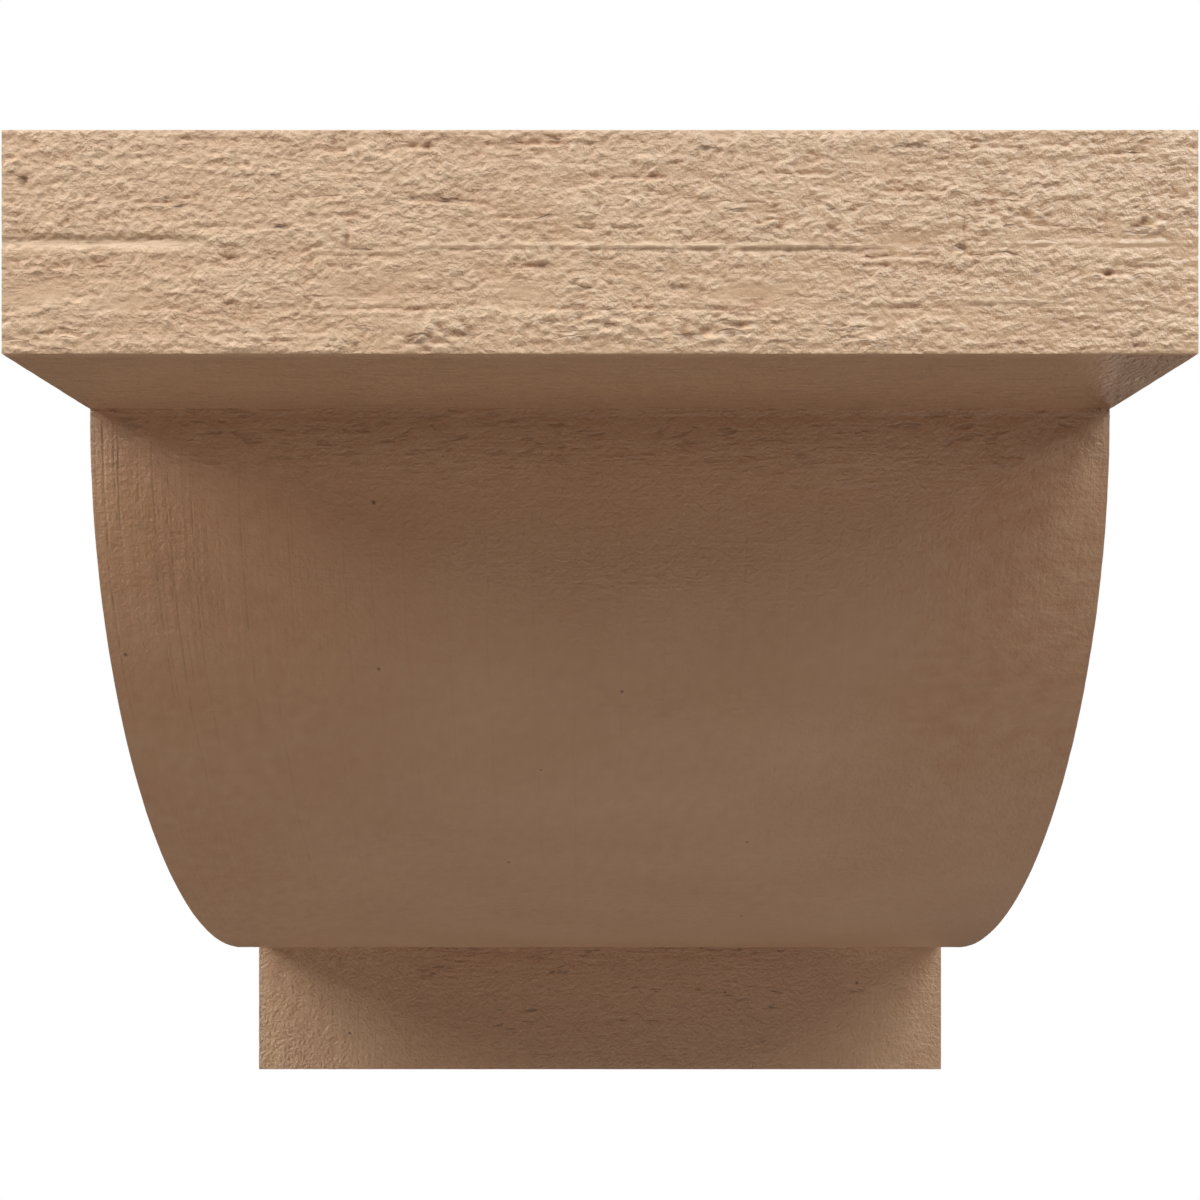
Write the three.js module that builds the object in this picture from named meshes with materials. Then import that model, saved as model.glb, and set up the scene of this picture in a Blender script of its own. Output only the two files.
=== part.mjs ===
// A plain quarter-round corbel, moulded in one piece to look like rough timber. A square-edged cap
// slab stands out at the top, a quarter-round swells out below it, and a flat backing block runs
// down the wall and shows again under the round. The side profile is the same right across.
// Millimetres, +Z up. The origin is the middle of the wall face, and the corbel stands out from
// the wall along -Y.

import * as THREE from "three";

// Driving sizes
const width = 203.2; // left to right
const capThickness = 38.1; // height of the slab's front edge
const capOverhang = 38.1; // how far the slab stands out past the round
const roundReach = 127; // how far the round stands out from the backing block
const roundDrop = 127; // how far the round comes down below the slab
const backingThickness = 38.1; // from the wall to the backing block's front face
const backingDrop = 38.1; // how far the block shows below the round

// The round is one curve with upright and level ends. Its handles are this share of its reach and
// drop, where a true quarter circle has 0.552, so its middle is about 1% flatter.
const roundFullness = 0.534;
const roundSteps = 32;

const paint = new THREE.MeshStandardMaterial({
  name: "tan_primer",
  color: "#c4a586",
  roughness: 0.6,
  metalness: 0,
});

// The side profile: x is the distance out from the wall, y is the height.
function sideProfile() {
  const top = (capThickness + roundDrop + backingDrop) / 2;
  const capUnderside = top - capThickness;
  const roundBottom = capUnderside - roundDrop;
  const bottom = roundBottom - backingDrop;
  const backingFront = backingThickness;
  const roundFront = backingFront + roundReach;
  const capFront = roundFront + capOverhang;

  const profile = new THREE.Shape();
  profile.moveTo(0, top);
  profile.lineTo(capFront, top);
  profile.lineTo(capFront, capUnderside);
  profile.lineTo(roundFront, capUnderside);
  profile.bezierCurveTo(
    roundFront,
    capUnderside - roundFullness * roundDrop,
    backingFront + roundFullness * roundReach,
    roundBottom,
    backingFront,
    roundBottom,
  );
  profile.lineTo(backingFront, bottom);
  profile.lineTo(0, bottom);
  profile.closePath();
  return profile;
}

// The profile run across the full width, then turned to stand out from the wall along -Y.
function corbel() {
  const geometry = new THREE.ExtrudeGeometry(sideProfile(), {
    depth: width,
    bevelEnabled: false,
    curveSegments: roundSteps,
  });
  geometry.translate(0, 0, -width / 2);

  const mesh = new THREE.Mesh(geometry, paint);
  mesh.name = "corbel";
  const outFromWall = new THREE.Vector3(0, -1, 0);
  const up = new THREE.Vector3(0, 0, 1);
  const across = new THREE.Vector3(-1, 0, 0);
  mesh.setRotationFromMatrix(new THREE.Matrix4().makeBasis(outFromWall, up, across));
  return mesh;
}

const object = new THREE.Group();
object.add(corbel());

export default object;
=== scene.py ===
import math

import bpy
import numpy as np
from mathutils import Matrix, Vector
from mathutils.geometry import delaunay_2d_cdt


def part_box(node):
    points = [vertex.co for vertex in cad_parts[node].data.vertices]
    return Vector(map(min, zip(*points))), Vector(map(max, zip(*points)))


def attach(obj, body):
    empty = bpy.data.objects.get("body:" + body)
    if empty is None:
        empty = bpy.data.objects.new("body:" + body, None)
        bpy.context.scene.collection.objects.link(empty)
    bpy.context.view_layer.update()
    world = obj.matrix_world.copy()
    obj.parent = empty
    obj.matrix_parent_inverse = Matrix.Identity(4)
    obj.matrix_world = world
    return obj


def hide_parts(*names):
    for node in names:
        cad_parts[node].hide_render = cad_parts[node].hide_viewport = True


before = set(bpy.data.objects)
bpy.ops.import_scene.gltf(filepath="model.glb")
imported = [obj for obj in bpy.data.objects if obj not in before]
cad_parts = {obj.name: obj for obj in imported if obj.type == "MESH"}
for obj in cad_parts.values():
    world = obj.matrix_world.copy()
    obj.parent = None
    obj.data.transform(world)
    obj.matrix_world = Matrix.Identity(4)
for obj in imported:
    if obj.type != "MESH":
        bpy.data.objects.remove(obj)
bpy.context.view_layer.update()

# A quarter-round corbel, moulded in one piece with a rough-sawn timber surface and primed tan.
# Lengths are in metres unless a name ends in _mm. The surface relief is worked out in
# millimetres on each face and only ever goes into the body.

MM = 0.001

# The corbel's side profile, as in the frame
low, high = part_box("corbel")
cap_thickness = 38.1 * MM
cap_overhang = 38.1 * MM
backing_thickness = 38.1 * MM
backing_drop = 38.1 * MM
round_fullness = 0.534
cap_front_y = low.y
round_front_y = cap_front_y + cap_overhang
backing_front_y = high.y - backing_thickness
cap_underside_z = high.z - cap_thickness
round_bottom_z = low.z + backing_drop

# Mesh pitch. The width is cut into this many columns. The cap's front has them all, and the
# other faces only every third, sixth or twelfth one.
columns = 480
cap_front_row_mm = 0.33
underside_row_mm = 2.0
round_row_mm = 1.5
backing_row_mm = 1.2
bottom_row_mm = 3.0
wall_row_mm = 8.0
top_row_mm = 3.4
side_pitch_mm = 3.0
other_side_mm = 300  # how far on in the noise the second side starts
arris_wear_mm = 0.08


# Noise

noise_table = 256  # the noise repeats after this many bumps


def noise(u, v, size_u, size_v, seed):
    """Smooth noise from about -1 to 1 whose bumps are size_u wide and size_v tall."""
    angle = np.random.default_rng(seed).uniform(0, 2 * math.pi, (noise_table, noise_table))
    lean_u, lean_v = np.cos(angle), np.sin(angle)
    a, b = u / size_u, v / size_v
    i, j = np.floor(a).astype(int), np.floor(b).astype(int)
    a, b = a - i, b - j
    ease_a = a * a * a * (a * (a * 6 - 15) + 10)
    ease_b = b * b * b * (b * (b * 6 - 15) + 10)

    def corner(di, dj):
        at = (i + di) % noise_table, (j + dj) % noise_table
        return lean_u[at] * (a - di) + lean_v[at] * (b - dj)

    near = corner(0, 0) * (1 - ease_a) + corner(1, 0) * ease_a
    far = corner(0, 1) * (1 - ease_a) + corner(1, 1) * ease_a
    return 1.5 * (near * (1 - ease_b) + far * ease_b)


def cells(u, v, size_u, size_v, seed):
    """Squared distance to the nearest of scattered points, rounded off halfway between them."""
    off_u, off_v = np.random.default_rng(seed).uniform(0, 1, (2, noise_table, noise_table))
    a, b = u / size_u, v / size_v
    i, j = np.floor(a).astype(int), np.floor(b).astype(int)
    sharpness = 7
    total = np.zeros(np.shape(a))
    for di in (-1, 0, 1):
        for dj in (-1, 0, 1):
            at = (i + di) % noise_table, (j + dj) % noise_table
            away_u, away_v = i + di + off_u[at] - a, j + dj + off_v[at] - b
            total += np.exp(-sharpness * (away_u * away_u + away_v * away_v))
    return -np.log(total + 1e-9) / sharpness


def smoothstep(x, start, end):
    t = np.clip((x - start) / (end - start), 0, 1)
    return t * t * (3 - 2 * t)


def spot(u, v, centre_u, centre_v, radius_u, radius_v):
    """1 at the centre of an oval and 0 well outside it."""
    return np.exp(-((u - centre_u) / radius_u) ** 2 - ((v - centre_v) / radius_v) ** 2)


def along(u, start, end, fade):
    """1 between start and end, fading out over that length past each."""
    return smoothstep(u, start - fade, start) * (1 - smoothstep(u, end, end + fade))


# Relief of each face, in mm, and how strong each of these layers of the paint, painted shade among them, is
# there.
# u runs from the left edge and v down the profile.
full_shade_mm = 0.75  # the shade goes from none to full over this depth
glossy_mm = 203  # the paint gets glossier over this length from the left
no_line_mm = 9  # further than any saw line shows
edge_fade_mm = 3  # some faces are calm this near their edges
layers = (
    "shade",  # painted shade, from 0 on crests to 1 in hollows
    "tooth", "saw", "rows",  # fine bump in mm: grain, fine lines down the face, and rows across it
    "line_off", "line_here",  # distance in mm to the nearest single saw line, and its strength
    "marks",  # short cracks, darkened with painted shade
    "dark",  # painted shade that darkens the paint, most of all in the inner corners
    "polish",  # 1 is glossy
)


def lumps(u, v, size_u, size_v, seed):
    """Blasted grain: rounded lumps with hollows between them, from about -1 to 0."""
    bend_v = v + 1.6 * noise(u, v, 22, 12, seed + 5)
    domes = np.clip(cells(u, bend_v, size_u, size_v, seed + 3), 0, 1)
    rough = noise(u, bend_v, size_u * 0.95, size_v * 0.95, seed + 4)
    return 0.4 * rough - 0.6 * domes - 0.25


def grain(u, v, seed):
    """Long shallow fibres along u, from about -1 to 1."""
    bend = v + 0.9 * noise(u, v, 40, 9, seed)
    return (
        0.5 * noise(u, bend, 16, 0.8, seed + 1)
        + 0.5 * noise(u, bend, 34, 1.9, seed + 2)
    )


def strengths(
    height, shade, tooth, saw, rows,
    line_off=no_line_mm, line_here=0, marks=0, dark=0, polish=0.4,
):
    """The values of all the layers, in their order, with the hollows of the relief in the shade."""
    shade = np.clip(shade - height / full_shade_mm, 0, 1)
    values = (shade, tooth, saw, rows, line_off, line_here, marks, dark, polish)
    return np.stack([np.broadcast_to(value, height.shape) for value in values], axis=-1)


def near_edge(distance):
    """0 on an arris and 1 away from it, so that the arris stays straight."""
    return smoothstep(distance, 0, edge_fade_mm)


def steady_ends(height, u, v):
    """Evens the relief out towards the edges of a face that is seen from the front."""
    distance = np.minimum(np.minimum(u, u.max() - u), np.minimum(v, v.max() - v))
    level = height.mean()
    return level + (height - level) * (0.35 + 0.65 * smoothstep(distance, 0, 0.9))


def pit(u, v, centre_u, centre_v, radius_u, radius_v, depth):
    """An oval dent of that depth."""
    return -depth * spot(u, v, centre_u, centre_v, radius_u, radius_v)


# Places on the cap's front: (u, v, half width, half height)
coarse_patches = [
    (141.5, 15.5, 5, 3), (169, 15.5, 6, 2.6), (195, 16.6, 5, 2.2), (8.3, 35.2, 6, 2.2),
    (72, 36.2, 5, 1.6), (74.5, 33.5, 5, 2), (100, 33.5, 9, 2.6), (122, 34.5, 12, 2.6),
    (98.3, 26.7, 3, 1.2), (131, 15, 1.4, 4), (124, 13.4, 2, 1.4), (100, 17, 1.6, 3),
    (58, 19.5, 4, 1.6), (60, 4, 3, 1.2), (187, 24, 3, 2), (144, 34, 5, 2), (176, 13, 3, 2),
]
smooth_patches = [
    (7.6, 27.8, 8, 2), (22, 29.6, 5, 1.6), (88.2, 27.4, 4, 1.8), (62, 27.5, 7, 2), (129, 28, 9, 2.2),
    (147.6, 4.5, 4, 1.6), (153, 19.2, 6, 1.3), (175, 19.0, 4, 1.5), (195, 19.4, 6, 1.4),
]
# Rows of short cracks: (start, end, v)
crack_rows = [
    (36, 42, 6.1), (56, 60, 3.6), (69, 73, 2.8), (88, 95, 2.3), (119, 122, 3.6), (152, 156, 2.9),
    (165, 173, 3.0), (177, 180, 2.7), (185, 195, 4.0), (199, 203, 3.2), (24, 30, 12.4), (67, 78, 12.0),
    (104, 112, 8.2), (132, 140, 7.4), (84, 92, 14.8), (150, 160, 10.6), (164, 172, 21.2),
    (186, 192, 24.2), (191, 197, 23.3), (145, 150, 22.8), (147, 158, 21.6),
]
# Ledges that catch the light, each with a dark line under it: (start, end, v, size)
ledges = [
    (104, 134, 20.0, 1), (134, 146, 20.0, 0.7), (73, 99, 19.8, 0.75), (170, 197, 19.4, 0.55),
    (56, 67, 20.9, 0.5), (167, 180, 29.4, 0.6), (181, 190, 30.6, 0.5), (40, 56, 35.4, 0.4),
    (67, 76, 37.0, 0.4), (18, 24, 4.4, 0.4),
]
# Single marks, dents with painted shade in them: (u, v, half width, half height, depth)
dark_marks = [
    (3.6, 8.7, 0.7, 0.7, 0.5), (39, 21.7, 0.9, 0.3, 0.35), (47.5, 16.6, 1.0, 0.3, 0.35),
    (30, 13.1, 1.0, 0.3, 0.3), (19.7, 11.7, 0.9, 0.3, 0.3), (58.6, 18.7, 0.45, 0.9, 0.7),
    (60.4, 20.3, 2.2, 0.3, 0.3), (58.9, 23.4, 1.0, 0.35, 0.35), (115, 26.9, 1.4, 0.3, 0.35),
    (72.4, 2.9, 0.8, 0.5, 0.4), (75.4, 34.2, 1.2, 0.4, 0.4), (79.0, 34.8, 1.6, 0.4, 0.45),
    (72.5, 37.4, 0.7, 0.6, 0.4), (92, 23.2, 1.0, 0.5, 0.4), (141.6, 14.0, 0.6, 0.5, 0.45),
    (141.4, 17.2, 0.6, 0.5, 0.45), (166, 13.8, 0.6, 0.5, 0.4), (171.3, 13.8, 0.6, 0.5, 0.4),
    (194, 15.4, 0.6, 0.6, 0.4), (175.5, 24.3, 0.7, 0.5, 0.4), (188, 24.3, 0.7, 0.5, 0.4),
    (163, 20.1, 1.1, 0.6, 0.5), (137.5, 20.1, 1.2, 0.4, 0.35), (140.8, 20.0, 0.9, 0.5, 0.35),
]


def line(u, v, at_v, wander, seed):
    """How far v is below a line near at_v that wanders a little along u."""
    sway = 0.7 * noise(u, v * 0, 18, 1, seed) + 0.3 * noise(u, v * 0, 3, 1, seed + 1)
    return v - at_v - wander * sway


def cap_front_relief(u, v):
    calm = 0.75 + 0.35 * smoothstep(noise(u, v, 26, 7, 41) + noise(u, v, 9, 3, 42), -0.9, 0.7)
    calm = calm * (0.8 + 0.35 * smoothstep(noise(u, v, 4.5, 2.2, 45), -0.3, 0.6))
    for place in smooth_patches:
        calm = calm * (1 - 0.7 * spot(u, v, *place))
    coarse = np.minimum(sum(spot(u, v, *place) for place in coarse_patches), 1)

    # The long line halfway down is a ledge cut in at the left, and ledges that stand out further on
    cut = line(u, v, 18.3, 0.25, 80)
    left = along(u, -5, 31, 6)
    calm = calm * (1 - 0.8 * left * spot(u * 0, cut, 0, 1.0, 1, 0.9))
    broken = 0.8 + 0.45 * noise(u, v * 0, 3.0, 1, 84)
    raised = -0.3 * left * broken * smoothstep(cut, -0.2, 0.1) * (1 - np.clip((cut - 0.1) / 1.9, 0, 1))
    # Painted highlight: the paint is paler along the bright band at each ledge
    painted_highlight = 0.55 * left * spot(u * 0, cut, 0, 1.1, 1, 0.7)
    for k, (start, end, ledge_v, size) in enumerate(ledges):
        off = line(u, v, ledge_v, 0.3, 400 + 2 * k)
        here = size * along(u, start, end, 5)
        calm = calm * (1 - 0.6 * here * spot(u * 0, off, 0, -0.3, 1, 0.7))
        swell = np.clip((off + 1.0) / 1.0, 0, 1) * (1 - smoothstep(off, 0, 0.3))
        raised += here * broken * (0.42 * swell - 0.14 * spot(u * 0, off, 0, 0.5, 1, 0.35))
        painted_highlight += 0.5 * here * broken * spot(u * 0, off, 0, -0.35, 1, 0.45)

    height = -0.36 + raised + 0.42 * calm * (1 - 0.35 * coarse) * (lumps(u, v, 1.25, 1.0, 50) + 0.44)
    height += (0.1 + 0.04 * smoothstep(u, 20, 90)) * calm * noise(u, v, 5.0, 3.2, 57)
    height += coarse * (0.95 * lumps(u, v, 1.9, 1.4, 60) + 0.43)
    height += 0.05 * grain(u, v, 70)
    height += 0.1 * noise(u, v, 24, 5, 74)

    # Short cracks in rows, and the thin groove lower down
    crack = np.abs(noise(u, v + 0.4 * noise(u, v, 6, 3, 90), 5.5, 1.1, 91))
    where = smoothstep(noise(u, v, 7, 1.6, 93), 0.3, 0.6)
    height -= 0.25 * where * np.clip(1 - crack / 0.13, 0, 1)
    cracked = 0.25 + 0.6 * coarse
    for k, (start, end, row_v) in enumerate(crack_rows):
        off = line(u, v, row_v, 0.5, 300 + 2 * k)
        cracked = cracked + 0.8 * along(u, start, end, 2) * np.exp(-(off / 0.7) ** 2)
        here = along(u, start, end, 1.5) * (0.6 + 0.6 * noise(u, v * 0, 1.8, 1, 340 + k))
        height -= 0.32 * here * (np.exp(-(off / 0.28) ** 2) - 0.4 * np.exp(-((off - 0.8) / 0.4) ** 2))
    lower = line(u, v, 30.4, 0.3, 86)
    groove = along(u, 60, 76, 3) + along(u, 94, 124, 6) + 0.4 * along(u, 131, 170, 8)
    groove = groove + 0.35 * along(u, 17, 52, 8)
    lip = 0.3 * np.exp(-((lower - 0.8) / 0.4) ** 2)
    height -= 0.24 * groove * broken * (np.exp(-(lower / 0.3) ** 2) - lip)

    # Single marks, dented and darkened with painted shade
    marked = sum(spot(u, v, *mark[:4]) for mark in dark_marks)
    cracked = cracked + marked
    for mark in dark_marks:
        height += 0.75 * pit(u, v, *mark)
    # A short ladder of dents
    for row_v in np.arange(11.8, 18.6, 1.15):
        height += pit(u, v, 131 + 0.6 * math.sin(row_v * 2), row_v, 1.0, 0.35, 0.4)
    height += pit(u, v, 163.5, 16.7, 0.3, 4.0, 0.3)
    height += pit(u, v, 187.4, 13.4, 0.3, 4.0, 0.25)
    height = steady_ends(height, u, v)
    # Painted shade from the hollows, less the painted highlight on the ledges
    shade = -0.25 - painted_highlight + raised / full_shade_mm
    return height, strengths(
        height, shade, 0.52 * calm, 0.02, 0.12,
        marks=np.minimum(cracked, 1), dark=0.45 * np.minimum(marked, 1), polish=u / glossy_mm,
    )


# Small pits, painted as dark spots of shade with no dent in the mesh: (u, distance down the face, radius)
round_pits = [
    (56.3, 18.4, 0.6), (55.6, 52.9, 0.5), (106.2, 58.1, 0.5), (80.3, 107.8, 0.5), (135.3, 100.2, 0.45),
    (137, 135, 0.5), (3.4, 49.7, 0.55), (88.7, 77.8, 0.35),
]
# Small pits on the backing's front, painted the same way: (u, v, radius)
backing_pits = [(178.1, 12.4, 0.65), (138.8, 15.1, 0.5), (27.1, 27.3, 0.6)]

# Places on the round: (u, distance down the curve, half width, half length)
round_patches = [
    (13, 22, 12, 24), (36, 6, 22, 6), (85, 8, 40, 7), (150, 8, 40, 7), (190, 26, 12, 26),
    (45, 33, 10, 3), (110, 33, 26, 4), (30, 62, 24, 5), (120, 62, 20, 5), (180, 56, 14, 14),
    (160, 108, 14, 8), (60, 100, 12, 5), (100, 130, 30, 6),
]
# Long saw lines straight down the round: (u, start, end)
saw_lines = [
    (2.6, 6, 60), (5.5, 2, 22), (12.2, 8, 60), (15.4, 14, 80), (19.8, 16, 70), (29.6, 12, 60),
    (39, 16, 40), (50, 20, 60), (55.5, 30, 70), (62, 24, 90), (70.5, 16, 80), (78.5, 20, 90),
    (88, 20, 100), (96, 60, 130), (106, 20, 80), (115, 40, 110), (131, 20, 60), (140, 30, 100),
    (152, 50, 90), (163, 18, 60), (176, 22, 60), (190, 14, 50), (34, 60, 120), (46, 70, 130),
]


def nearest_line(u, v, lines, seed):
    """The signed distance to the nearest saw line, and how strong it is there."""
    off, here = np.full_like(u, no_line_mm), np.zeros_like(u)
    for k, (line_u, start, end) in enumerate(lines):
        away = u - line_u - 0.35 * noise(u * 0, v, 1, 14, seed + k)
        strong = along(v, start, end, 8) * np.clip(0.5 + 0.9 * noise(u * 0, v, 1, 4, seed + 40 + k), 0, 1.2)
        nearer = np.abs(away) < np.abs(off)
        off = np.where(nearer, away, off)
        here = np.where(nearer, strong * np.exp(-(away / 1.5) ** 2), here)
    return off, here


def round_relief(u, v):
    under_cap = 1 - smoothstep(v, 5, 22)
    rough = np.minimum(sum(spot(u, v, *place) for place in round_patches), 1)
    left = 1 - smoothstep(u, 20, 60)
    right = smoothstep(u, 150, 185) * (1 - smoothstep(v, 60, 110))
    height = (0.1 + 0.06 * left) * lumps(u, v, 2.7, 2.6, 110)
    height += 0.18 * under_cap * lumps(u, v, 4.0, 2.6, 120)
    height += 0.28 * right * lumps(u - 0.7 * v, v, 4.2, 2.8, 140)
    height += 0.06 * noise(u, v, 30, 16, 134)
    line_off, line_here = nearest_line(u, v, saw_lines, 500)
    return height, strengths(
        height,
        # Painted shade: the whole round is tinted towards the hollow colour, less just under the cap
        shade=0.48 - 0.25 * under_cap,
        tooth=0.3 + 0.12 * rough,
        saw=0.16 + 0.2 * left,
        rows=0.1 + 0.2 * rough * (1 - right),
        line_off=line_off,
        line_here=line_here * (0.4 + 0.6 * left),
        marks=0.36 * along(u, 10, 193, 12) * (1 - smoothstep(v, 4, 16)) + 0.16 * rough,
        # Painted shade, darkest just under the cap
        dark=0.04 + 0.26 * (1 - smoothstep(v, 1, 16)) - 0.04 * left,
        polish=u / glossy_mm,
    )


# Dark cracks across the backing's front (start, end, v), and its saw lines (u, start, end)
backing_cracks = [
    (48, 62, 2.4), (84, 92, 1.8), (98, 108, 2.0), (50, 56, 6.8), (44, 52, 9.2), (70, 80, 9.6),
    (86, 93, 8.4), (128, 150, 1.4), (150, 168, 1.8), (74, 82, 20), (141, 160, 15.6), (140, 156, 19.4),
    (112, 130, 14.8), (70, 78, 25), (170, 190, 14.2), (108, 120, 22.6),
]
backing_lines = [(12.5, 6, 38), (16.5, 10, 38), (30, 4, 38), (44, 22, 38), (8, 12, 30)]


def backing_relief(u, v):
    under_round = 1 - smoothstep(v, 1, 16)
    middle = along(u, 60, 150, 20)
    left = 1 - smoothstep(u, 25, 60)
    right = smoothstep(u, 160, 190)
    height = (0.13 + 0.2 * left) * lumps(u, v, 2.7, 2.1, 150) + 0.05 * grain(u, v, 160)
    height += 0.2 * under_round * middle * lumps(u, v, 6.0, 1.8, 170)
    height += 0.2 * right * lumps(u + 0.6 * v, v, 4.4, 3.0, 180)
    cracked = 0.25 * middle
    for k, (start, end, row_v) in enumerate(backing_cracks):
        off = line(u, v, row_v, 0.8, 600 + 2 * k)
        cracked = cracked + along(u, start, end, 4) * np.exp(-(off / 1.1) ** 2)
    line_off, line_here = nearest_line(u, v, backing_lines, 660)
    return height, strengths(
        height,
        # Painted shade: tinted towards the hollow colour, less at the left and right
        shade=0.3 - 0.3 * left - 0.12 * right,
        tooth=0.6 + 0.7 * left,
        saw=0.1 + 0.5 * left,
        rows=0.15 + 0.3 * under_round * middle,
        line_off=line_off,
        line_here=line_here * 0.6,
        marks=np.minimum(cracked, 1),
        # Painted shade in the middle and most of all under the round
        dark=0.1 * along(u, 50, 165, 20) * (1 + 0.6 * under_round),
        polish=u / glossy_mm + 0.5 * right,
    )


def underside_relief(u, v):
    height = 0.06 * lumps(u, v, 4.0, 2.2, 190) + 0.05 * grain(u, v, 200)
    right = smoothstep(u - 0.28 * v, 184, 193)
    height += 0.3 * right * smoothstep(u.max() - u, 0, 4) * lumps(u, v, 2.8, 4.6, 195)
    return height * near_edge(v), strengths(
        height,
        # Painted shade: tinted towards the hollow colour
        shade=0.35,
        tooth=0.65 + 1.3 * right,
        saw=0.05,
        rows=0.5 * (1 - right),
        marks=0.3,
        # Painted shade, a little over all but the left end and most towards the back, in the corner with
        # the round
        dark=0.04 * smoothstep(u, 20, 60) + 0.16 * smoothstep(v, 18, 38),
        polish=0.4 + 1.4 * right,
    )


def plain_relief(u, v):
    height = 0.12 * lumps(u, v, 6.5, 4.0, 210) + 0.07 * noise(u, v, 40, 9, 220)
    calm_edges = near_edge(np.minimum(v, v.max() - v))
    return height * calm_edges, strengths(height, 0.25, 0.3, 0.1, 0.15, marks=0.3)


def flat_relief(u, v):
    height = np.zeros_like(u)
    return height, strengths(height, 0.35, 0.2, 0, 0.05)


def side_relief(u, v):
    height = 0.1 * lumps(u, v, 7.5, 4.2, 230) + 0.07 * noise(u, v, 40, 10, 240)
    return height, strengths(height, 0.25, 0.2, 0, 0.08)


# The profile as a loop of faces, each a run of rows (y, z) with an outward normal

def run_along(points):
    """How far along a line each of its points is."""
    return np.concatenate([[0], np.cumsum(np.linalg.norm(np.diff(points, axis=0), axis=1))])


def straight(start, end, row_mm):
    count = max(1, round((Vector(end) - Vector(start)).length / MM / row_mm))
    t = np.linspace(0, 1, count + 1)[:, None]
    points = np.array(start) * (1 - t) + np.array(end) * t
    step = np.array(end) - np.array(start)
    normal = np.array([step[1], -step[0]]) / np.linalg.norm(step)
    return points, np.tile(normal, (count + 1, 1))


def round_curve(row_mm):
    corners = np.array([
        (round_front_y, cap_underside_z),
        (round_front_y, cap_underside_z - round_fullness * (cap_underside_z - round_bottom_z)),
        (backing_front_y - round_fullness * (backing_front_y - round_front_y), round_bottom_z),
        (backing_front_y, round_bottom_z),
    ])
    t = np.linspace(0, 1, 2001)[:, None]
    dense = (
        (1 - t) ** 3 * corners[0]
        + 3 * (1 - t) ** 2 * t * corners[1]
        + 3 * (1 - t) * t**2 * corners[2]
        + t**3 * corners[3]
    )
    run = run_along(dense)
    at = np.linspace(0, run[-1], round(run[-1] / MM / row_mm) + 1)
    points = np.column_stack([np.interp(at, run, dense[:, k]) for k in (0, 1)])
    lean = np.gradient(dense, run, axis=0)
    lean = np.column_stack([np.interp(at, run, lean[:, k]) for k in (0, 1)])
    normal = np.column_stack([lean[:, 1], -lean[:, 0]])
    return points, normal / np.linalg.norm(normal, axis=1)[:, None]


wall_y, top_z, bottom_z = high.y, high.z, low.z
cap_top, cap_lower_edge = (cap_front_y, top_z), (cap_front_y, cap_underside_z)
round_top, round_end = (round_front_y, cap_underside_z), (backing_front_y, round_bottom_z)
backing_end, wall_end, wall_top = (backing_front_y, bottom_z), (wall_y, bottom_z), (wall_y, top_z)
faces = [
    # rows and normals, column step, relief
    (straight(cap_top, cap_lower_edge, cap_front_row_mm), 1, cap_front_relief),
    (straight(cap_lower_edge, round_top, underside_row_mm), 3, underside_relief),
    (round_curve(round_row_mm), 3, round_relief),
    (straight(round_end, backing_end, backing_row_mm), 3, backing_relief),
    (straight(backing_end, wall_end, bottom_row_mm), 12, plain_relief),
    (straight(wall_end, wall_top, wall_row_mm), 12, flat_relief),
    (straight(wall_top, cap_top, top_row_mm), 6, plain_relief),
]


def loop_rows():
    """The rows around the profile. A row on an arris belongs to two faces, and has both reliefs."""
    x = np.linspace(low.x, high.x, columns + 1)
    rows = []
    for index, ((points, normals), step, relief) in enumerate(faces):
        run = run_along(points)
        u, v = np.meshgrid((x - low.x) / MM, run / MM)
        heights, coats = relief(u, v)
        heights = np.minimum(heights, 0)
        if relief is not flat_relief:
            heights[[0, -1]] -= arris_wear_mm
        for k, (point, normal, height, coat) in enumerate(zip(points, normals, heights, coats)):
            shift = height[:, None] * MM * normal
            if k == 0 and rows:
                rows[-1]["shift"] = rows[-1]["shift"] + shift
                rows[-1]["height"] = np.minimum(rows[-1]["height"], height)
                rows[-1]["step"] = min(rows[-1]["step"], step)
                rows[-1]["face"] = index
            else:
                rows.append({
                    "point": point, "shift": shift, "height": height, "coat": coat,
                    "step": step, "face": index,
                })
    last = rows.pop()
    rows[0]["shift"] = rows[0]["shift"] + last["shift"]
    rows[0]["height"] = np.minimum(rows[0]["height"], last["height"])
    rows[0]["step"] = min(rows[0]["step"], last["step"])
    start = 0
    for row in rows:
        keep = slice(None, None, row["step"])
        row["place"] = np.column_stack([x, *(row["point"] + row["shift"]).T])[keep]
        row["height"] = row["height"][keep]
        row["coat"] = row["coat"][keep]
        row["start"] = start
        start += len(row["height"])
    return rows


def strip_polygons(rows):
    """The cells between each row and the next, and the face that each cell is on."""
    polygons, patches = [], []
    for row, after in zip(rows, rows[1:] + rows[:1]):
        step = max(row["step"], after["step"])
        per_row, per_after = step // row["step"], step // after["step"]
        for cell in range(columns // step):
            first = row["start"] + cell * per_row
            second = after["start"] + cell * per_after
            upper = range(first + per_row, first - 1, -1)
            polygons.append([*upper, *range(second, second + per_after + 1)])
            patches.append(row["face"])
    return polygons, patches


def inside_profile(points, loop):
    x, y = points[:, 0], points[:, 1]
    found = np.zeros(len(points), bool)
    for (x0, y0), (x1, y1) in zip(loop, np.roll(loop, -1, axis=0)):
        if y0 != y1:
            crosses = (y0 > y) != (y1 > y)
            found ^= crosses & (x < (x1 - x0) * (y - y0) / (y1 - y0) + x0)
    return found


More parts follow.
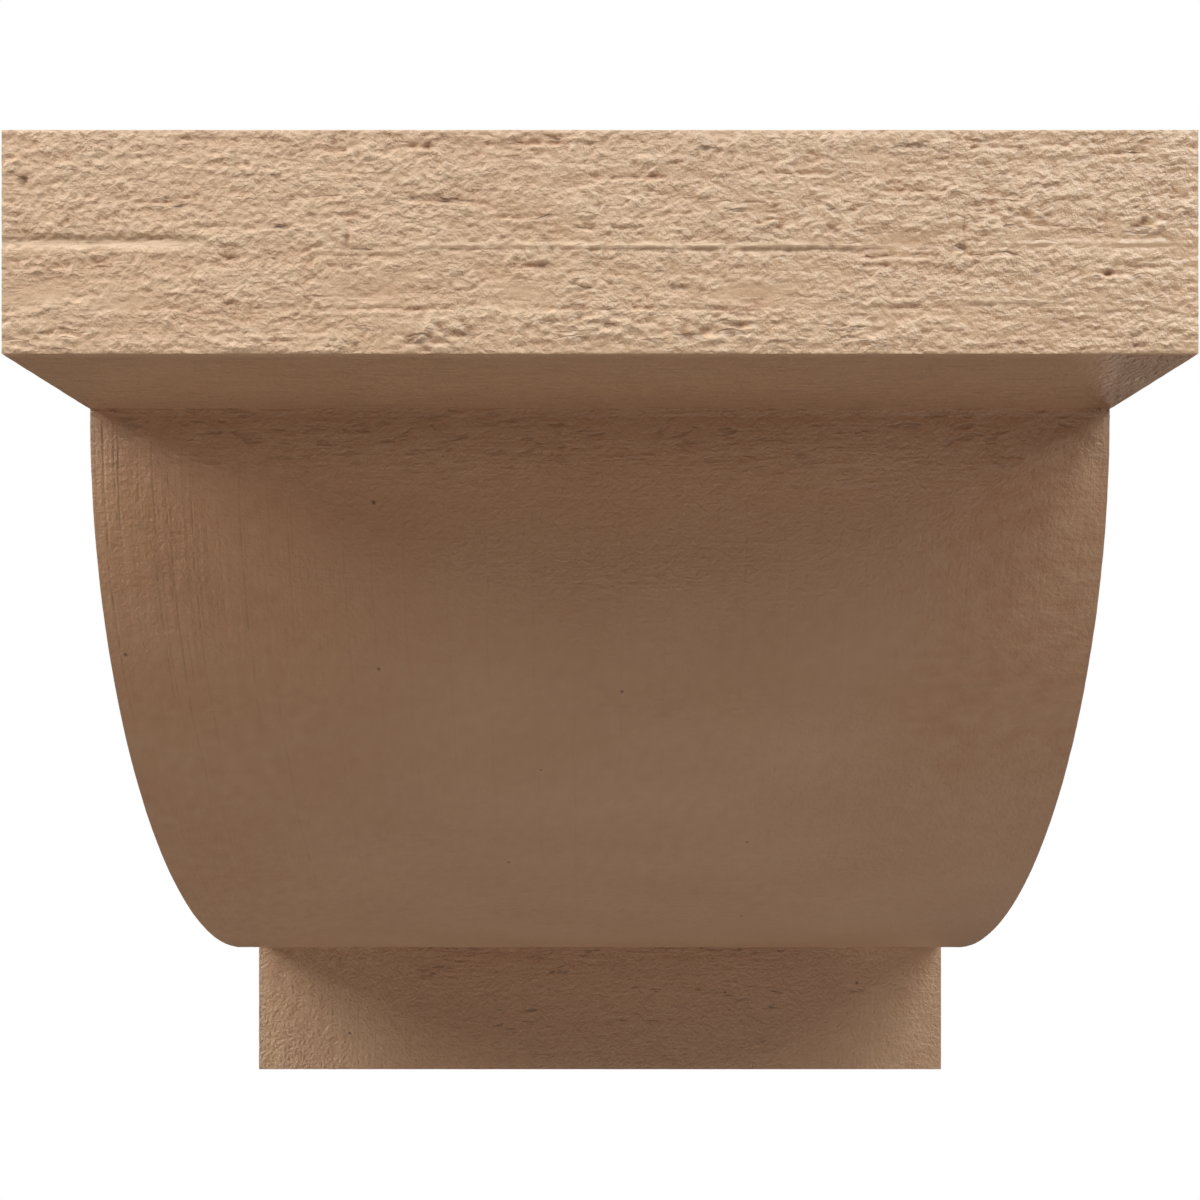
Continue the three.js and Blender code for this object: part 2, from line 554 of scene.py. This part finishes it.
def distance_to_loop(points, loop):
    best = np.full(len(points), np.inf)
    for a, b in zip(loop, np.roll(loop, -1, axis=0)):
        t = np.clip(((points - a) @ (b - a)) / ((b - a) @ (b - a)), 0, 1)
        best = np.minimum(best, np.linalg.norm(points - a - t[:, None] * (b - a), axis=1))
    return best


def side_points(loop, pitch):
    """Staggered points inside the profile, clear of its edge."""
    ys = np.arange(low.y, high.y, pitch)
    zs = np.arange(low.z, high.z, pitch * math.sqrt(3) / 2)
    grid = np.array([(y + (k % 2) * pitch / 2, z) for k, z in enumerate(zs) for y in ys])
    grid = grid[inside_profile(grid, loop)]
    return grid[distance_to_loop(grid, loop) > pitch * 0.55]


def corbel_skin():
    rows = loop_rows()
    polygons, patches = strip_polygons(rows)
    places = [row["place"] for row in rows]
    coats = [row["coat"] for row in rows]
    total = sum(len(place) for place in places)

    # The two sides: triangles between the ends of the rows and staggered points of their own
    loop = np.array([row["point"] for row in rows])
    ring = len(loop)
    inner = side_points(loop, side_pitch_mm * MM)
    points = np.concatenate([loop, inner])
    edges = [(k, (k + 1) % ring) for k in range(ring)]
    _, _, triangles, origins, _, _ = delaunay_2d_cdt([Vector(p) for p in points], edges, [], 1, 1e-7)
    for side, x, out in ((0, low.x, -1), (1, high.x, 1)):
        u = (points[:, 0] - low.y) / MM
        v = (high.z - points[:, 1]) / MM + side * other_side_mm
        depth, coat = side_relief(u, v)
        depth = np.minimum(depth, 0) * near_edge(distance_to_loop(points, loop) / MM)
        depth[:ring] -= arris_wear_mm
        for row, height in zip(rows, depth):
            row["place"][-side, 0] += out * height * MM
        rim = [row["start"] + side * (len(row["place"]) - 1) for row in rows]
        index_of = rim + list(range(total, total + len(inner)))
        places.append(np.column_stack([x + out * depth[ring:] * MM, inner]))
        coats.append(coat[ring:])
        total += len(inner)
        for triangle in triangles:
            corners = [index_of[origins[c][0]] for c in triangle]
            polygons.append(corners if side else corners[::-1])
            patches.append(len(faces) + side)

    mesh = bpy.data.meshes.new("corbel_skin")
    mesh.from_pydata(np.concatenate(places), [], polygons, shade_flat=False)
    for name, values in zip(layers, np.concatenate(coats).T):
        attribute = mesh.attributes.new(name, "FLOAT", "POINT")
        attribute.data.foreach_set("value", values.astype(np.float32))
    mark_arrises(mesh, np.array(patches))
    skin = bpy.data.objects.new("corbel_skin", mesh)
    bpy.context.scene.collection.objects.link(skin)
    return skin


def mark_arrises(mesh, patches):
    """Edges between two faces of the corbel are sharp."""
    loop_edge = np.zeros(len(mesh.loops), np.int32)
    mesh.loops.foreach_get("edge_index", loop_edge)
    sizes = np.zeros(len(mesh.polygons), np.int32)
    mesh.polygons.foreach_get("loop_total", sizes)
    loop_patch = np.repeat(patches, sizes)
    first = np.full(len(mesh.edges), 99)
    last = np.full(len(mesh.edges), -1)
    np.minimum.at(first, loop_edge, loop_patch)
    np.maximum.at(last, loop_edge, loop_patch)
    sharp = mesh.attributes.new("sharp_edge", "BOOLEAN", "EDGE")
    sharp.data.foreach_set("value", first != last)


# Material

darker_tan, lighter_tan = (0.71, 0.43, 0.25, 1), (0.775, 0.48, 0.28, 1)
# Painted shade: the colour of the hollows and of the deepest shade
painted_hollow_shade = (0.48, 0.195, 0.07, 1)
painted_shade_brown = (0.2, 0.097, 0.046, 1)
matt_roughness, glossy_roughness = 0.56, 0.33
saw_line_depth_mm, crack_depth_mm = 0.12, 0.2


def node(tree, kind, inputs, **settings):
    """A new node. Each of its inputs is given a plain value or another node's output."""
    made = tree.nodes.new(kind)
    for name, value in settings.items():
        setattr(made, name, value)
    for name, value in inputs.items():
        if isinstance(value, bpy.types.NodeSocket):
            tree.links.new(value, made.inputs[name])
        else:
            made.inputs[name].default_value = value
    return made


def layer(tree, name):
    """The value of one of the mesh's layers."""
    return node(tree, "ShaderNodeAttribute", {}, attribute_name=name).outputs["Fac"]


def calculate(tree, operation, *numbers):
    return node(tree, "ShaderNodeMath", dict(enumerate(numbers)), operation=operation).outputs[0]


def ramp(tree, value, start, end, low_end=0, high_end=1, clamp=True):
    """Goes from low_end to high_end as the value goes from start to end."""
    inputs = {"Value": value, "From Min": start, "From Max": end, "To Min": low_end, "To Max": high_end}
    return node(tree, "ShaderNodeMapRange", inputs, clamp=clamp).outputs[0]


def mix(tree, share, first, second):
    inputs = {"Factor": share, "A": first, "B": second}
    return node(tree, "ShaderNodeMix", inputs, data_type="RGBA").outputs["Result"]


def turned_noise(tree, place, stretch, turn, **settings):
    """Noise along a place that is first stretched and turned."""
    mapping = node(tree, "ShaderNodeMapping", {"Vector": place, "Scale": stretch, "Rotation": turn})
    return node(tree, "ShaderNodeTexNoise", {"Vector": mapping.outputs[0], **settings}).outputs[0]


def pit_places():
    """The small pits as (x, y, z, radius), on the round and on the backing's front."""
    points, _ = round_curve(round_row_mm)
    run = run_along(points) / MM
    found = []
    for u, v, radius in round_pits:
        y, z = (np.interp(v, run, points[:, k]) for k in (0, 1))
        found.append((low.x + u * MM, y, z, radius * MM))
    for u, v, radius in backing_pits:
        found.append((low.x + u * MM, backing_front_y, round_bottom_z - v * MM, radius * MM))
    return found


def pits_inside(tree, place):
    """1 in the middle of a small pit and 0 outside all of them."""
    total = 0
    for x, y, z, radius in pit_places():
        inputs = {0: place, 1: (x, y, z)}
        away = node(tree, "ShaderNodeVectorMath", inputs, operation="DISTANCE").outputs["Value"]
        total = calculate(tree, "ADD", total, ramp(tree, away, radius, radius * 0.2))
    return total


def fine_height(tree, place):
    """Fine grain, saw lines across the grain and rows along it, in mm, as strong as the mesh says."""
    bumps = [
        # layer, stretch, turn, scale, detail
        ("tooth", (0.95, 0.5, 1), (0.6, 0.5, 0.3), 1000, 3),
        ("saw", (1, 0.03, 0.03), (0, 0, 0), 560, 3),
        ("rows", (0.12, 1, 1), (0.6, 0.5, 0.3), 900, 2),
    ]
    total = 0
    for name, stretch, turn, scale, detail in bumps:
        bump = turned_noise(tree, place, stretch, turn, Scale=scale, Detail=detail, Roughness=0.6)
        total = calculate(tree, "MULTIPLY_ADD", bump, layer(tree, name), total)
    return total


def primer_material():
    material = bpy.data.materials.new("tan_primer")
    material.use_nodes = True
    tree = material.node_tree
    shader = tree.nodes["Principled BSDF"]
    shader.inputs["Specular IOR Level"].default_value = 0.7
    place = node(tree, "ShaderNodeTexCoord", {}).outputs["Object"]

    # The paint is a little uneven, and painted shade makes it darker and redder down in the hollows and on
    # faces in shade
    mottle = turned_noise(tree, place, (0.85, 1, 1), (0, 0, 0), Scale=60, Detail=5)
    paint = mix(tree, layer(tree, "shade"), mix(tree, mottle, darker_tan, lighter_tan), painted_hollow_shade)

    # Thin saw lines, and short cracks: the lowest parts of a noise drawn out along the grain
    beside = calculate(tree, "ABSOLUTE", layer(tree, "line_off"))
    saw_line = calculate(tree, "MULTIPLY", ramp(tree, beside, 0.35, 0.05), layer(tree, "line_here"))
    crack_noise = turned_noise(
        tree, place, (0.32, 1, 1), (0.6, 0.1, 0.1), Scale=660, Detail=2, Distortion=0.4
    )
    cracks = calculate(tree, "MULTIPLY", ramp(tree, crack_noise, 0.43, 0.33), layer(tree, "marks"))

    # Painted shade: the pits, cracks, saw lines and the dark layer darken the paint towards a shade brown
    darkness = pits_inside(tree, place)
    for source, share in ((cracks, 0.5), (saw_line, 0.2), (layer(tree, "dark"), 1)):
        darkness = calculate(tree, "MULTIPLY_ADD", source, share, darkness)
    tree.links.new(mix(tree, darkness, paint, painted_shade_brown), shader.inputs["Base Color"])

    coat = ramp(tree, layer(tree, "polish"), 0, 1, matt_roughness, glossy_roughness, clamp=False)
    tree.links.new(calculate(tree, "MULTIPLY_ADD", mottle, 0.14, coat), shader.inputs["Roughness"])

    height = fine_height(tree, place)
    height = calculate(tree, "MULTIPLY_ADD", saw_line, -saw_line_depth_mm, height)
    height = calculate(tree, "MULTIPLY_ADD", cracks, -crack_depth_mm, height)
    bump = node(tree, "ShaderNodeBump", {"Strength": 1, "Distance": MM, "Height": height})
    tree.links.new(bump.outputs[0], shader.inputs["Normal"])
    return material


# Camera, floor and lights

ambient = 0.02
light_aim = Vector((0, -0.1, 0))
light_distance = 1.6
cool = (0.79, 1, 1.12)
plain = (1, 1, 1)
pale_blue = (0.95, 1, 1.04)
warm = (1.07, 1, 0.95)
amber = (1.15, 0.99, 0.86)
softboxes = {
    # azimuth, elevation, size, power, colour
    "key": (0, 58, 0.5, 3.8, cool),
    "key_left": (-30, 54, 0.5, 6.8, cool),
    "key_right": (38, 50, 0.5, 9.3, cool),
    "side_left": (-70, 36, 0.9, 21.5, plain),
    "side_right": (68, 38, 0.8, 10.8, pale_blue),
    "front": (0, 14, 0.6, 0.5, warm),
    "below": (0, -38, 0.8, 1.2, warm),
    "under": (0, -72, 0.8, 1.75, warm),
    "glance": (149, -13, 0.3, 0.95, amber),
    "low_left": (-60, -20, 0.6, 1, amber),
    "low_right": (33, -16, 0.35, 2.45, pale_blue),
    "back_left": (-152, 33, 0.8, 6.5, plain),
    "back_right": (152, 33, 0.8, 6.5, plain),
}


def camera():
    distance = 218.05 * MM
    frame_px, focal_px, horizon_px = 1200, 1287.4, 728.26
    data = bpy.data.cameras.new("camera")
    data.sensor_width = 36
    data.lens = data.sensor_width * focal_px / frame_px
    data.shift_y = (horizon_px - frame_px / 2) / frame_px
    data.clip_start = 0.01
    made = bpy.data.objects.new("camera", data)
    made.location = (0, cap_front_y - distance, 0)
    made.rotation_euler = (math.pi / 2, 0, 0)
    bpy.context.scene.collection.objects.link(made)
    bpy.context.scene.camera = made


def softbox(name, azimuth, elevation, size, power, colour):
    """A square soft light facing the corbel. Azimuth 0 is straight in front and 90 is at +X."""
    data = bpy.data.lights.new(name, "AREA")
    data.shape = "SQUARE"
    data.size = size
    data.energy = power
    data.color = colour
    a, e = math.radians(azimuth), math.radians(elevation)
    away = Vector((math.sin(a) * math.cos(e), -math.cos(a) * math.cos(e), math.sin(e)))
    made = bpy.data.objects.new(name, data)
    made.location = light_aim + away * light_distance
    made.rotation_mode = "QUATERNION"
    made.rotation_quaternion = (-away).to_track_quat("-Z", "Y")
    made.visible_camera = False
    bpy.context.scene.collection.objects.link(made)


def white_to_camera(tree, shader, output):
    """What the camera sees is plain white; light falls on the corbel from the given shader."""
    seen = node(tree, "ShaderNodeEmission", {}).outputs[0]
    to_camera = node(tree, "ShaderNodeLightPath", {}).outputs["Is Camera Ray"]
    choose = node(tree, "ShaderNodeMixShader", {"Fac": to_camera, 1: shader.outputs[0], 2: seen})
    tree.links.new(choose.outputs[0], output.inputs["Surface"])


def surroundings():
    world = bpy.data.worlds.new("studio")
    world.use_nodes = True
    background = world.node_tree.nodes["Background"]
    background.inputs["Color"].default_value = (1, 1, 1, 1)
    background.inputs["Strength"].default_value = ambient
    white_to_camera(world.node_tree, background, world.node_tree.nodes["World Output"])
    bpy.context.scene.world = world

    half, drop = 8, 2.4  # metres
    mesh = bpy.data.meshes.new("floor")
    corners = [(-half, -half, -drop), (half, -half, -drop), (half, half, -drop), (-half, half, -drop)]
    mesh.from_pydata(corners, [], [(0, 1, 2, 3)])
    floor = bpy.data.objects.new("floor", mesh)
    bpy.context.scene.collection.objects.link(floor)
    paint = bpy.data.materials.new("floor")
    paint.use_nodes = True
    shader = paint.node_tree.nodes["Principled BSDF"]
    shader.inputs["Base Color"].default_value = (0.85, 0.85, 0.85, 1)
    shader.inputs["Roughness"].default_value = 0.9
    white_to_camera(paint.node_tree, shader, paint.node_tree.nodes["Material Output"])
    mesh.materials.append(paint)


camera()
surroundings()
for name, settings in softboxes.items():
    softbox(name, *settings)

skin = corbel_skin()
skin.data.materials.append(primer_material())
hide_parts("corbel")
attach(skin, "root")

bpy.context.scene.view_settings.view_transform = "Standard"

print("triangles", sum(len(p.vertices) - 2 for p in skin.data.polygons))
